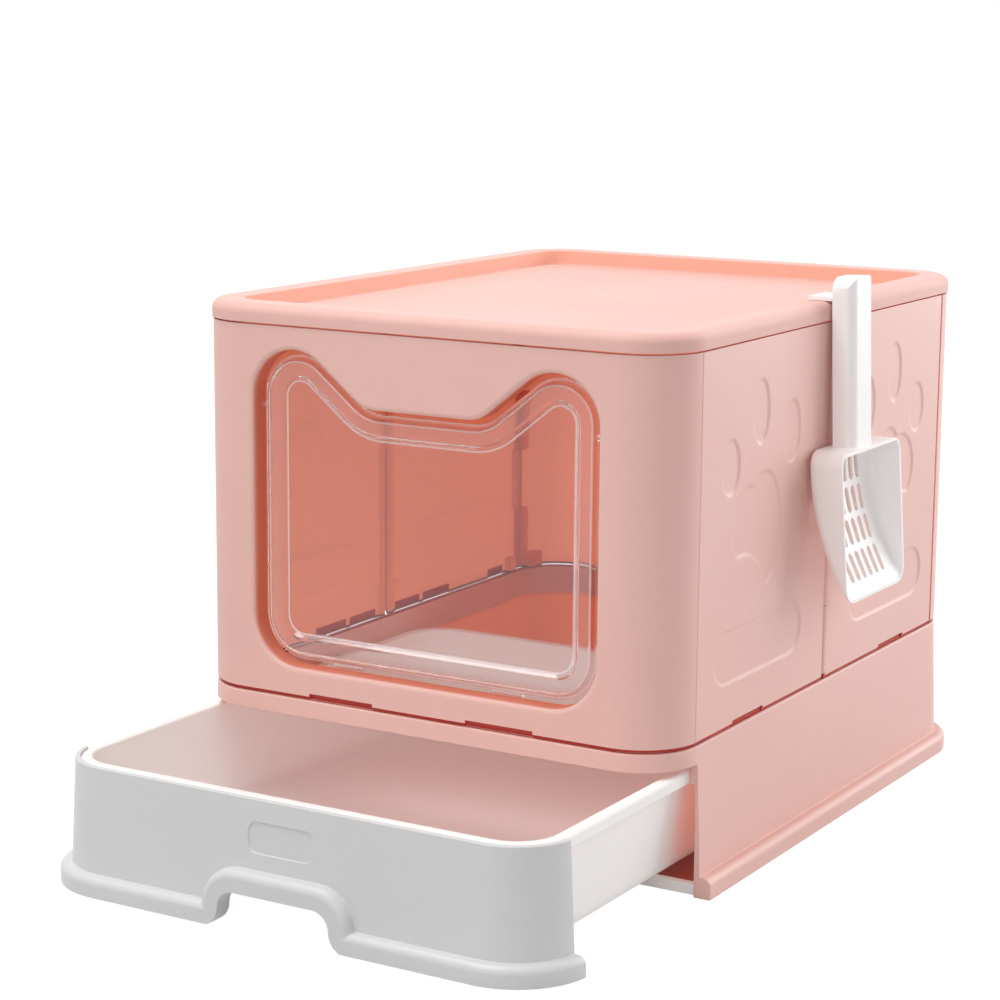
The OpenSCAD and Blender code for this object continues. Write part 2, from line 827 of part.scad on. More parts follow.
base_shell();
base_floor();
base_sill();
drawer_tray();
drawer_front();
front_panel();
rear_panel();
right_front_side();
right_rear_side();
left_front_side();
left_rear_side();
right_front_pin();
right_mid_pin();
right_rear_pin();
left_front_pin();
left_mid_pin();
left_rear_pin();
corner_clips();
door_flap();
door_pivots();
lid();
scoop();
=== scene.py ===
import json
import math

import bmesh
import bpy
from mathutils import Matrix, Vector


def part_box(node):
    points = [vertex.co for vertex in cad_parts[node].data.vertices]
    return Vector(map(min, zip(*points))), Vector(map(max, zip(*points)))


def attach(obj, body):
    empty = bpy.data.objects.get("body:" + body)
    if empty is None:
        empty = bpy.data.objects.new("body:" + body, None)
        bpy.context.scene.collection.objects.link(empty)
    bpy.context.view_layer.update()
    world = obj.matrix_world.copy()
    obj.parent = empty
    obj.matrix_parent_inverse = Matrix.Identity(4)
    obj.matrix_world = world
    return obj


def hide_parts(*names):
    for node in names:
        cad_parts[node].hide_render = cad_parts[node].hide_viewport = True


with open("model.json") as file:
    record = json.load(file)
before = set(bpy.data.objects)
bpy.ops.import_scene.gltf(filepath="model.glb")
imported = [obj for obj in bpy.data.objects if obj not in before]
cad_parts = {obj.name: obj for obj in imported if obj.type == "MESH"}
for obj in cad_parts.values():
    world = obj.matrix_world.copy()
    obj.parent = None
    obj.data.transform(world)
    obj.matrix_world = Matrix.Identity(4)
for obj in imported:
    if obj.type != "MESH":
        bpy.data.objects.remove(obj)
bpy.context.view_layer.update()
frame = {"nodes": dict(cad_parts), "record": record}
cadNodes = frame["nodes"]
nodeBody = {
    node: body
    for body, members in frame["record"]["behaviour"]["bodies"].items()
    for node in members
}
print("frame loaded with", len(cadNodes), "nodes")

# the plan of the upright walls, shared by the base, the panels and the lid, in metres
wallPlan = {"cornerRadius": 0.0425, "wall": 0.0028, "skirtRise": 0.002}
rearHigh = Vector(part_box("rear_panel")[1])
halfWidth = rearHigh.x
halfLength = rearHigh.y
cornerCentre = (halfWidth - wallPlan["cornerRadius"], halfLength - wallPlan["cornerRadius"], 0.0)
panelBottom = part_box("rear_panel")[0][2] + wallPlan["skirtRise"]
panelTop = rearHigh.z
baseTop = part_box("base_shell")[1][2]


# helpers for node trees

def setInput(tree, socket, value):
    # an output is linked to the socket, and a number, vector or colour is set on it
    if isinstance(value, bpy.types.NodeSocket):
        tree.links.new(value, socket)
    else:
        socket.default_value = value


def calc(tree, operation, *values, clamp=False):
    node = tree.nodes.new("ShaderNodeMath")
    node.operation = operation
    node.use_clamp = clamp
    for socket, value in zip(node.inputs, values):
        setInput(tree, socket, value)
    return node.outputs[0]


def calcVector(tree, operation, *values):
    node = tree.nodes.new("ShaderNodeVectorMath")
    node.operation = operation
    for socket, value in zip(node.inputs, values):
        setInput(tree, socket, value)
    return node.outputs["Value" if operation == "LENGTH" else "Vector"]


def mixColour(tree, mask, first, second):
    mix = tree.nodes.new("ShaderNodeMix")
    mix.data_type = "RGBA"
    tree.links.new(mask, mix.inputs["Factor"])
    setInput(tree, mix.inputs[6], first)
    setInput(tree, mix.inputs[7], second)
    return mix.outputs[2]


def mapMask(tree, mask, low, high):
    spread = tree.nodes.new("ShaderNodeMapRange")
    spread.inputs["To Min"].default_value = low
    spread.inputs["To Max"].default_value = high
    tree.links.new(mask, spread.inputs["Value"])
    return spread.outputs[0]


def joinShaders(tree, share, first, second):
    mix = tree.nodes.new("ShaderNodeMixShader")
    tree.links.new(share, mix.inputs[0])
    tree.links.new(first, mix.inputs[1])
    tree.links.new(second, mix.inputs[2])
    return mix.outputs[0]


def whiteToSight(tree):
    # 1 for rays that see the background, straight on, mirrored or through the clear door
    path = tree.nodes.new("ShaderNodeLightPath")
    direct = calc(tree, "MAXIMUM", path.outputs["Is Camera Ray"], path.outputs["Is Glossy Ray"])
    return calc(tree, "MAXIMUM", direct, path.outputs["Is Transmission Ray"])


# camera

cameraSettings = {
    "yaw": 30.722,  # degrees, turned from looking along +Y
    "pitch": 10.718,  # degrees below level
    "roll": 0.459,
    "place": (0.90740, -1.66695, 0.57305),
    "lens": 93.23,
    "sensor": 36.0,
    "farClip": 200,
}


def makeCamera(plan):
    yaw, pitch, roll = (math.radians(plan[key]) for key in ("yaw", "pitch", "roll"))
    forward = Vector((-math.sin(yaw) * math.cos(pitch), math.cos(yaw) * math.cos(pitch), -math.sin(pitch)))
    level = Vector((math.cos(yaw), math.sin(yaw), 0))
    upright = level.cross(forward)
    right = level * math.cos(roll) + upright * math.sin(roll)
    up = upright * math.cos(roll) - level * math.sin(roll)
    data = bpy.data.cameras.new("viewCamera")
    data.lens = plan["lens"]
    data.sensor_width = plan["sensor"]
    data.clip_end = plan["farClip"]
    camera = bpy.data.objects.new("viewCamera", data)
    bpy.context.collection.objects.link(camera)
    turn = Matrix((right, up, -forward)).transposed().to_4x4()
    camera.matrix_world = Matrix.Translation(plan["place"]) @ turn
    bpy.context.scene.camera = camera


# light

lightSettings = {
    "colour": (1, 1, 1, 1),
    "world": 0.45,  # strength of the even light from all round
    "background": 1.0,  # strength where the background itself is seen
    "lamps": [
        # name, place, aim, size, power
        ("topSoftbox", (-0.5, -0.9, 2.4), (0, -0.1, 0.2), 1.5, 38),
        ("frontSoftbox", (-1.9, -2.6, 1.4), (0, -0.2, 0.2), 1.6, 1.5),
        ("sideSoftbox", (1.9, 2.6, 1.3), (0.1, 0, 0.2), 2.6, 68),
        ("doorSoftbox", (0.62, -2.5, 0.75), (0, 0, 0.22), 0.35, 4),
    ],
}


def makeLights(plan):
    world = bpy.data.worlds.new("studio")
    bpy.context.scene.world = world
    world.use_nodes = True
    tree = world.node_tree
    tree.nodes.clear()
    skies = []
    for strength in (plan["world"], plan["background"]):
        sky = tree.nodes.new("ShaderNodeBackground")
        sky.inputs["Color"].default_value = plan["colour"]
        sky.inputs["Strength"].default_value = strength
        skies.append(sky.outputs[0])
    out = tree.nodes.new("ShaderNodeOutputWorld")
    tree.links.new(joinShaders(tree, whiteToSight(tree), *skies), out.inputs["Surface"])
    for name, place, aim, size, power in plan["lamps"]:
        data = bpy.data.lights.new(name, "AREA")
        data.shape = "SQUARE"
        data.size = size
        data.energy = power
        lamp = bpy.data.objects.new(name, data)
        bpy.context.collection.objects.link(lamp)
        lamp.location = place
        lamp.rotation_euler = (Vector(aim) - Vector(place)).to_track_quat("-Z", "Y").to_euler()


# floor to stand on

floorSettings = {
    "half": 60.0,
    "colour": (0.62, 0.62, 0.62, 1),
    "roughness": 0.9,
    "gloss": 0.1,
    "lift": 0.74,  # share of glow that the camera sees
    "glow": 1.3,
}


def makeFloor(plan):
    mesh = bpy.data.meshes.new("floor")
    half = plan["half"]
    corners = [(-half, -half, 0), (half, -half, 0), (half, half, 0), (-half, half, 0)]
    mesh.from_pydata(corners, [], [(0, 1, 2, 3)])
    floor = bpy.data.objects.new("floor", mesh)
    bpy.context.collection.objects.link(floor)
    material = bpy.data.materials.new("paleFloor")
    material.use_nodes = True
    tree = material.node_tree
    shader = tree.nodes["Principled BSDF"]
    shader.inputs["Base Color"].default_value = plan["colour"]
    shader.inputs["Roughness"].default_value = plan["roughness"]
    shader.inputs["Specular IOR Level"].default_value = plan["gloss"]
    glow = tree.nodes.new("ShaderNodeEmission")
    glow.inputs["Strength"].default_value = plan["glow"]
    lift = calc(tree, "MULTIPLY", whiteToSight(tree), plan["lift"])
    surface = joinShaders(tree, lift, shader.outputs[0], glow.outputs[0])
    tree.links.new(surface, tree.nodes["Material Output"].inputs["Surface"])
    mesh.materials.append(material)


makeCamera(cameraSettings)
makeLights(lightSettings)
makeFloor(floorSettings)
bpy.context.scene.view_settings.view_transform = "Standard"
print("camera, lights and floor made")


# effects that several materials share, as node groups

def startGroup(name, inputs, outputs):
    # inputs holds each socket's first value, or None where it is always linked
    group = bpy.data.node_groups.new(name, "ShaderNodeTree")
    for label, value in inputs.items():
        kind = "NodeSocketFloat" if isinstance(value, float) else "NodeSocketVector"
        socket = group.interface.new_socket(label, in_out="INPUT", socket_type=kind)
        if value is not None:
            socket.default_value = value
    for label in outputs:
        group.interface.new_socket(label, in_out="OUTPUT", socket_type="NodeSocketFloat")
    entry = group.nodes.new("NodeGroupInput")
    leave = group.nodes.new("NodeGroupOutput")
    return group, entry, leave


mottleSettings = {
    "scales": {"Broad Scale": 7.0, "Fine Scale": 90.0},
    "detail": (2, 3),  # of the broad and of the fine noise
    "fineShare": 0.3,
    "range": (0.45, 0.85),
}


def makeMottleGroup(plan):
    # broad and fine noise, for the slight unevenness of moulded colour and gloss
    group, entry, leave = startGroup("mouldMottle", {"Vector": None, **plan["scales"]}, ["Mask"])
    noises = []
    for scale, detail in zip(plan["scales"], plan["detail"]):
        noise = group.nodes.new("ShaderNodeTexNoise")
        noise.inputs["Detail"].default_value = detail
        group.links.new(entry.outputs["Vector"], noise.inputs["Vector"])
        group.links.new(entry.outputs[scale], noise.inputs["Scale"])
        noises.append(noise.outputs["Fac"])
    broad, fine = noises
    spread = group.nodes.new("ShaderNodeMapRange")
    low, high = plan["range"]
    spread.inputs["From Min"].default_value = low
    spread.inputs["From Max"].default_value = high
    both = calc(group, "MULTIPLY_ADD", fine, plan["fineShare"], broad)
    group.links.new(both, spread.inputs["Value"])
    group.links.new(spread.outputs[0], leave.inputs["Mask"])
    return group


skinSettings = {
    "scale": 1100.0,
    "detail": 2,
    "roughness": 0.6,
    "height": 0.0004,
}


def makeSkinGroup(plan):
    # height of the fine texture that a moulding tool leaves
    group, entry, leave = startGroup("mouldSkin", {"Vector": None, "Scale": plan["scale"]}, ["Height"])
    noise = group.nodes.new("ShaderNodeTexNoise")
    noise.inputs["Detail"].default_value = plan["detail"]
    noise.inputs["Roughness"].default_value = plan["roughness"]
    group.links.new(entry.outputs["Vector"], noise.inputs["Vector"])
    group.links.new(entry.outputs["Scale"], noise.inputs["Scale"])
    group.links.new(noise.outputs["Fac"], leave.inputs["Height"])
    return group


# where a piece has its inner faces, its narrow gaps and its pockets; a mask that isn't wanted stays at 0
zoneDefaults = {
    "Centre": cornerCentre,  # of the corner's rounding
    "Radius": wallPlan["cornerRadius"],  # of the rounding that the inner faces lie within
    "Flare": 0.0,  # how fast that radius grows downwards
    "Top": panelTop,
    "Front": -1.0,
    "Low": -1.0,  # gaps lie under this height
    "High": 1.0,  # and over this one
    "Pocket Radius": 0.0,
    "Pocket Inner": -1.0,
    "Pocket Low": -1.0,
    "Pocket Top": 1.0,
    "Softness": 0.0001,  # over which the inner faces begin, in metres
}
crispEdge = 0.0001  # over which the other masks turn from 0 to 1, in metres


def wallMasks(tree, place, zone):
    # the walls follow a rounded rectangle, so only the distance from its corner's centre counts
    far = calcVector(tree, "SUBTRACT", calcVector(tree, "ABSOLUTE", place), zone["Centre"])
    far = calcVector(tree, "MULTIPLY", calcVector(tree, "MAXIMUM", far, (0, 0, 0)), (1, 1, 0))
    far = calcVector(tree, "LENGTH", far)
    split = tree.nodes.new("ShaderNodeSeparateXYZ")
    tree.links.new(place, split.inputs[0])
    high = split.outputs["Z"]
    depth = calc(tree, "SUBTRACT", zone["Top"], high)
    reach = calc(tree, "MULTIPLY_ADD", depth, zone["Flare"], zone["Radius"])
    gaps = {
        "within": (reach, far),
        "behind": (split.outputs["Y"], zone["Front"]),
        "below": (zone["Top"], high),
        "under": (zone["Low"], high),
        "over": (high, zone["High"]),
        "pocket": (zone["Pocket Radius"], far),
        "pocketInner": (far, zone["Pocket Inner"]),
        "pocketLow": (high, zone["Pocket Low"]),
        "pocketTop": (zone["Pocket Top"], high),
    }
    share = {}
    for key, pair in gaps.items():
        width = zone["Softness"] if key == "within" else crispEdge
        share[key] = calc(tree, "DIVIDE", calc(tree, "SUBTRACT", *pair), width, clamp=True)
    inside = calc(tree, "MULTIPLY", share["within"], share["below"])
    pocket = calc(tree, "MULTIPLY", share["pocket"], share["pocketInner"])
    pocket = calc(tree, "MULTIPLY", pocket, share["pocketLow"])
    return {
        "Inside": calc(tree, "MULTIPLY", inside, share["behind"]),
        "Groove": calc(tree, "MAXIMUM", share["under"], share["over"]),
        "Pocket": calc(tree, "MULTIPLY", pocket, share["pocketTop"]),
    }


def makeInsideGroup(defaults):
    masks = ["Inside", "Groove", "Pocket"]
    group, entry, leave = startGroup("insideWalls", {"Vector": None, **defaults}, masks)
    for label, mask in wallMasks(group, entry.outputs["Vector"], entry.outputs).items():
        group.links.new(mask, leave.inputs[label])
    return group


groups = {
    "mottle": makeMottleGroup(mottleSettings),
    "skin": makeSkinGroup(skinSettings),
    "inside": makeInsideGroup(zoneDefaults),
}


def placeGroup(tree, key, place, values):
    node = tree.nodes.new("ShaderNodeGroup")
    node.node_tree = groups[key]
    tree.links.new(place, node.inputs["Vector"])
    for label, value in values.items():
        node.inputs[label].default_value = value
    return node.outputs


print("shared effects made")


# finishes

def startMaterial(name):
    material = bpy.data.materials.new(name)
    material.use_nodes = True
    tree = material.node_tree
    place = tree.nodes.new("ShaderNodeTexCoord")
    return material, tree, tree.nodes["Principled BSDF"], place.outputs["Object"]


def addMottle(tree, shader, place, look):
    # uneven gloss all over; the mask goes on to the colour
    mottle = placeGroup(tree, "mottle", place, look["mottle"])["Mask"]
    tree.links.new(mapMask(tree, mottle, *look["roughness"]), shader.inputs["Roughness"])
    return mottle


def addSkin(tree, shader, place, strength, plan):
    bump = tree.nodes.new("ShaderNodeBump")
    bump.inputs["Strength"].default_value = strength
    bump.inputs["Distance"].default_value = plan["height"]
    skin = placeGroup(tree, "skin", place, {"Scale": plan["scale"]})
    tree.links.new(skin["Height"], bump.inputs["Height"])
    tree.links.new(bump.outputs["Normal"], shader.inputs["Normal"])


pinkFinish = {
    "colour": (0.88, 0.545, 0.485, 1),
    "shade": (0.86, 0.52, 0.46, 1),
    "within": (0.80, 0.33, 0.225, 1),  # inner faces, where light comes back red from wall to wall
    "grooveShade": (0.34, 0.09, 0.07, 1),  # painted shade in the narrow gaps between the pieces
    # painted shade in the pockets: the notches and small recesses along the joints
    "pocket": (0.50, 0.05, 0.04, 1),
    "gloss": (0.42, 0.15),  # outside, inside
    "through": (0.95, 0.50, 0.38, 1),  # light that shines in through the thin walls
    "letsThrough": 0.34,
    "roughness": (0.36, 0.46),
    "mottle": {"Broad Scale": 7.0, "Fine Scale": 90.0},
    "skin": 0.05,
}
# inside the base the inner faces are painted a deeper, darker red: painted shade and bounced light
pinkBaseFinish = dict(pinkFinish, within=(0.64, 0.15, 0.09, 1), through=(0.95, 0.40, 0.22, 1),
                      letsThrough=0.32)
# on the lid the pocket mask covers its rim's inner wall, painted a deeper salmon: painted shade
pinkLidFinish = dict(pinkFinish, pocket=(0.93, 0.45, 0.34, 1), gloss=0.1)


def insetRadius(distance):
    # radius of a corner that lies so far inside the walls' outer face
    return wallPlan["cornerRadius"] - distance


hairline = 0.00005  # keeps a mask's border off the faces that lie along it
edgeGrooves = {
    "Low": panelBottom - hairline,
    "High": panelTop - hairline,
    "Pocket Radius": insetRadius(0.0007),
    "Pocket Inner": insetRadius(0.0026),
    "Pocket Top": panelBottom + 0.0055,
}
pinkKinds = {
    "pinkPanel": (pinkFinish, {
        **edgeGrooves,
        "Radius": insetRadius(0.00115),
        "Top": panelTop + 0.001,
    }),
    "pinkFront": (pinkFinish, {
        **edgeGrooves,
        "Radius": insetRadius(0.0013),
        "Top": panelTop + 0.001,
        "Softness": 0.004,
    }),
    "pinkBase": (pinkBaseFinish, {
        "Radius": insetRadius(0.00046),
        "Flare": 0.04,
        # below this height the base's inner faces take the painted shade
        "Top": baseTop - 0.024,
        "Front": 0.003 - cornerCentre[1],
        "Pocket Radius": insetRadius(0.002),
        "Pocket Low": baseTop - 0.0014,
    }),
    "pinkLid": (pinkLidFinish, {
        "Radius": insetRadius(0.0012),
        "Top": panelTop + 0.0004,
        "Low": panelTop + 0.00125,
        "Pocket Radius": insetRadius(0.01),
        "Pocket Low": panelTop + 0.0034,
        "Pocket Top": panelTop + 0.0134,
    }),
}


def makePink(name, look, zone):
    material, tree, shader, place = startMaterial(name)
    mottle = addMottle(tree, shader, place, look)
    inner = placeGroup(tree, "inside", place, zone)
    colour = mixColour(tree, mottle, look["colour"], look["shade"])
    # the masks lay painted shade and bounced light on the inner faces, the gaps and the pockets
    colour = mixColour(tree, inner["Inside"], colour, look["within"])
    colour = mixColour(tree, inner["Groove"], colour, look["grooveShade"])
    colour = mixColour(tree, inner["Pocket"], colour, look["pocket"])
    tree.links.new(colour, shader.inputs["Base Color"])
    addSkin(tree, shader, place, look["skin"], skinSettings)
    # the group's masks feed the colour alone; gloss and passing light get theirs in the material itself
    masks = wallMasks(tree, place, dict(zoneDefaults, **zone))
    gloss = look["gloss"]
    if isinstance(gloss, tuple):
        gloss = mapMask(tree, calc(tree, "MAXIMUM", masks["Inside"], masks["Groove"]), *gloss)
    setInput(tree, shader.inputs["Specular IOR Level"], gloss)
    # inner faces let light in from outside: it crosses the wall and leaves it at the outer face's back
    through = tree.nodes.new("ShaderNodeBsdfTranslucent")
    through.inputs["Color"].default_value = look["through"]
    side = tree.nodes.new("ShaderNodeNewGeometry")
    shut = calc(tree, "MAXIMUM", masks["Groove"], masks["Pocket"])
    bare = calc(tree, "SUBTRACT", masks["Inside"], shut, clamp=True)
    share = calc(tree, "MULTIPLY", bare, look["letsThrough"])
    wall = joinShaders(tree, share, shader.outputs[0], through.outputs[0])
    wall = joinShaders(tree, side.outputs["Backfacing"], wall, through.outputs[0])
    tree.links.new(wall, tree.nodes["Material Output"].inputs["Surface"])
    return material


whiteFinish = {
    "colour": (0.73, 0.725, 0.725, 1),
    "shade": (0.70, 0.695, 0.695, 1),
    "roughness": (0.32, 0.42),
    "gloss": 0.45,
    "mottle": {"Broad Scale": 5.0, "Fine Scale": 90.0},
    "skin": 0.04,
    "glow": (1.0, 0.86, 0.81, 1),  # colour of the painted glow, light given off by the pale plastic itself
    "paintedGlowStrength": 0.0,
}
# the tray and the sill: a lighter copy of the white plastic with a painted glow, painted light where they
# lie in shade
litTrayFinish = dict(whiteFinish, colour=(0.86, 0.85, 0.84, 1), shade=(0.84, 0.83, 0.82, 1),
                  roughness=(0.4, 0.5), gloss=0.06, skin=0.02, paintedGlowStrength=0.13)
# the scoop: a lighter copy of the white plastic with a faint painted glow, painted light
litScoopFinish = dict(whiteFinish, colour=(0.95, 0.925, 0.92, 1), shade=(0.93, 0.905, 0.90, 1),
                   paintedGlowStrength=0.05)
# the base's floor inside: painted shade and red bounced light
shadedFloorFinish = dict(whiteFinish, colour=(0.52, 0.13, 0.085, 1), shade=(0.47, 0.11, 0.07, 1),
                       roughness=(0.25, 0.34), gloss=0.3, skin=0.03)


def makeEven(name, look):
    # one colour all over, inside and out
    material, tree, shader, place = startMaterial(name)
    mottle = addMottle(tree, shader, place, look)
    tree.links.new(mixColour(tree, mottle, look["colour"], look["shade"]), shader.inputs["Base Color"])
    shader.inputs["Specular IOR Level"].default_value = look["gloss"]
    # painted glow: the plastic gives off light of its own, though it is no lamp
    shader.inputs["Emission Color"].default_value = look["glow"]
    shader.inputs["Emission Strength"].default_value = look["paintedGlowStrength"]
    addSkin(tree, shader, place, look["skin"], skinSettings)
    return material


clearFinish = {
    "colour": (0.99, 0.975, 0.975, 1),
    "roughness": (0.01, 0.03),
    "mottle": {"Broad Scale": 20.0, "Fine Scale": 160.0},
    "bend": 1.49,  # refractive index
    "gloss": 0.08,
    "shadow": (0.98, 0.95, 0.94, 1),
    "depthLimit": 3,  # rays caught inside the sheet go straight on after so many bounces
    "edge": (0.96, 0.92, 0.92, 1),  # pale diffuse colour mixed in where the surface turns away: a painted sheen
    "edgePower": 2.2,
    "paintedSheen": 0.0,
    "paintedVeil": 0.0,
}
# the bead: glossier, with a painted pale sheen on its steep sides
clearBeadFinish = dict(clearFinish, colour=(0.985, 0.97, 0.975, 1), roughness=(0.03, 0.07), gloss=1.0,
                       paintedSheen=0.55, paintedVeil=0.035)
# bright lines on the bead's narrow roundings: a strong painted pale veil over their real reflection
paintedLineFinish = dict(clearBeadFinish, edge=(1.0, 0.97, 0.97, 1), paintedSheen=0.3, paintedVeil=0.5)


def makeClear(name, look):
    # clear sheet: refracts for the eye and lets lamps shine through
    material, tree, shader, place = startMaterial(name)
    addMottle(tree, shader, place, look)
    shader.inputs["Base Color"].default_value = look["colour"]
    shader.inputs["IOR"].default_value = look["bend"]
    shader.inputs["Specular IOR Level"].default_value = look["gloss"]
    shader.inputs["Transmission Weight"].default_value = 1.0
    passing = tree.nodes.new("ShaderNodeBsdfTransparent")
    passing.inputs["Color"].default_value = look["shadow"]
    path = tree.nodes.new("ShaderNodeLightPath")
    either = calc(tree, "MAXIMUM", path.outputs["Is Shadow Ray"], path.outputs["Is Diffuse Ray"])
    caught = calc(tree, "GREATER_THAN", path.outputs["Ray Depth"], look["depthLimit"])
    either = calc(tree, "MAXIMUM", either, caught)
    facing = tree.nodes.new("ShaderNodeLayerWeight")
    steep = calc(tree, "POWER", facing.outputs["Facing"], look["edgePower"])
    # pale diffuse mixed in, most where the surface turns away: painted sheen
    pale = tree.nodes.new("ShaderNodeBsdfDiffuse")
    pale.inputs["Color"].default_value = look["edge"]
    paintedSheen = calc(tree, "MULTIPLY_ADD", steep, look["paintedSheen"], look["paintedVeil"])
    solid = joinShaders(tree, paintedSheen, shader.outputs[0], pale.outputs[0])
    surface = joinShaders(tree, either, solid, passing.outputs[0])
    tree.links.new(surface, tree.nodes["Material Output"].inputs["Surface"])
    return material


steelFinish = {
    "colour": (0.55, 0.55, 0.56, 1),
    "shade": (0.42, 0.42, 0.43, 1),
    "roughness": (0.25, 0.4),
    "mottle": {"Broad Scale": 900.0, "Fine Scale": 2600.0},
    "stretch": (1, 1, 0.02),  # drawn out along the pin
}


def makeSteel(name, look):
    material, tree, shader, place = startMaterial(name)
    stretch = tree.nodes.new("ShaderNodeMapping")
    stretch.inputs["Scale"].default_value = look["stretch"]
    tree.links.new(place, stretch.inputs["Vector"])
    mottle = addMottle(tree, shader, stretch.outputs[0], look)
    tree.links.new(mixColour(tree, mottle, look["colour"], look["shade"]), shader.inputs["Base Color"])
    shader.inputs["Metallic"].default_value = 1.0
    return material


# kind: material and slot
finishes = {name: (makePink(name, *kind), "pink_plastic") for name, kind in pinkKinds.items()}
finishes["shadedPinkFloor"] = (makeEven("shadedPinkFloor", shadedFloorFinish), "pink_plastic")
finishes["white"] = (makeEven("whiteMoulded", whiteFinish), "white_plastic")
finishes["whiteTray"] = (makeEven("whiteTray", litTrayFinish), "white_plastic")
finishes["whiteScoop"] = (makeEven("whiteScoop", litScoopFinish), "white_plastic")
finishes["clear"] = (makeClear("clearSheet", clearFinish), "clear_plastic")
finishes["clearBead"] = (makeClear("clearBead", clearBeadFinish), "clear_plastic")
finishes["paintedClearLine"] = (makeClear("paintedClearLine", paintedLineFinish), "clear_plastic")
finishes["steel"] = (makeSteel("pinSteel", steelFinish), "pin_steel")
print("materials made")


# moulded pieces: a CAD node's own shape with the soft edges of a moulding

mouldSettings = {
    "mergeGap": 3e-6,  # points closer than this are one
    "flatAngle": 0.4,  # degrees, below which neighbouring faces become one
    "edgeAngle": 32,  # degrees, above which an edge is rounded
    "edgeSegments": 2,
    "faceWeight": 100,
}


def linkPiece(name, mesh):
    piece = bpy.data.objects.new(name, mesh)
    bpy.context.collection.objects.link(piece)
    return piece


def freezeModifiers(piece):
    graph = bpy.context.evaluated_depsgraph_get()
    finished = bpy.data.meshes.new_from_object(piece.evaluated_get(graph))
    piece.modifiers.clear()
    piece.data = finished


def mergePoints(work, plan):
    bmesh.ops.remove_doubles(work, verts=work.verts, dist=plan["mergeGap"])


def clearFlats(work, plan):
    angle = math.radians(plan["flatAngle"])
    bmesh.ops.dissolve_limit(work, angle_limit=angle, verts=work.verts, edges=work.edges)


def mergedWork(node, plan):
    work = bmesh.new()
    work.from_mesh(cadNodes[node].data)
    mergePoints(work, plan)
    return work


def meshFrom(work, name):
    mesh = bpy.data.meshes.new(name)
    work.to_mesh(mesh)
    work.free()
    return mesh


def softenEdges(piece, width, plan):
    # with no width the edges stay as they are and are only marked sharp
    angle = math.radians(plan["edgeAngle"])
    for polygon in piece.data.polygons:
        polygon.use_smooth = True
    if width:
        bevel = piece.modifiers.new("softEdges", "BEVEL")
        bevel.width = width
        bevel.segments = plan["edgeSegments"]
        bevel.limit_method = "ANGLE"
        bevel.angle_limit = angle
    else:
        piece.data.set_sharp_from_angle(angle=angle)
    weighted = piece.modifiers.new("evenShading", "WEIGHTED_NORMAL")
    weighted.keep_sharp = True
    weighted.weight = plan["faceWeight"]
    freezeModifiers(piece)


def finishPiece(piece, node, *kinds):
    # clearing the materials resets the faces' own numbers, so these are put back
    numbers = [polygon.material_index if len(kinds) > 1 else 0 for polygon in piece.data.polygons]
    piece.data.materials.clear()
    for kind in kinds:
        piece.data.materials.append(finishes[kind][0])
    piece.data.polygons.foreach_set("material_index", numbers)
    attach(piece, nodeBody[node])
    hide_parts(node)


# the drawer's front meets the tray's rim, with no open notch between them
frontTrim = {
    "centre": (0.1455, -0.362),  # of the rounded corners' inner face
    "inner": 0.039,
    "closes": 0.00046,
    "near": 0.0002,
}


def trimFront(work, plan):
    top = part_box("drawer_front")[1][2]
    centre = Vector(plan["centre"])
    for vert in work.verts:
        off = Vector((abs(vert.co.x), vert.co.y)) - centre
        onRim = vert.co.z > top - plan["near"] and abs(off.length - plan["inner"]) < plan["near"]
        if onRim and off.x > 0:
            off.length = plan["inner"] - plan["closes"]
            vert.co.x = math.copysign(centre.x + off.x, vert.co.x)
            vert.co.y = centre.y + off.y


# node: piece name, finish, width of the soft edges in metres
mouldedPieces = {
    "base_shell": ("baseShell", "pinkBase", 0.0007),
    "base_floor": ("baseFloor", "pinkBase", 0.0005),
    "base_sill": ("baseSill", "whiteTray", 0.0005),
    "drawer_tray": ("drawerTray", "whiteTray", 0.0006),
    "drawer_front": ("drawerFront", "white", 0.0008),
    "front_panel": ("frontPanel", "pinkFront", 0.0005),
    "rear_panel": ("rearPanel", "pinkPanel", 0.0005),
    "corner_clips": ("cornerClips", "pinkPanel", 0.0005),
    "door_pivots": ("doorPivots", "clearBead", 0.0003),
    "lid": ("lidShell", "pinkLid", 0.0006),
    "scoop": ("hangingScoop", "whiteScoop", 0.0005),
}


def makeMoulded(node, name, finish, width, mould):
    work = mergedWork(node, mould)
    clearFlats(work, mould)
    if node == "drawer_front":
        trimFront(work, frontTrim)
    piece = linkPiece(name, meshFrom(work, name))
    softenEdges(piece, width, mould)
    if node == "base_floor":
        # the side that shows has a finish of its own
        # the upward faces get a darker red of their own: painted shade and bounced light inside the base
        for polygon in piece.data.polygons:
            polygon.material_index = 1 if polygon.normal.z > 0.5 else 0
        finishPiece(piece, node, finish, "shadedPinkFloor")
    else:
        finishPiece(piece, node, finish)
    print("moulded", name, len(piece.data.polygons), "faces")


for node, kind in mouldedPieces.items():
    makeMoulded(node, *kind, mouldSettings)


# side halves: the moulded relief comes back with the soft slopes of a thin sheet

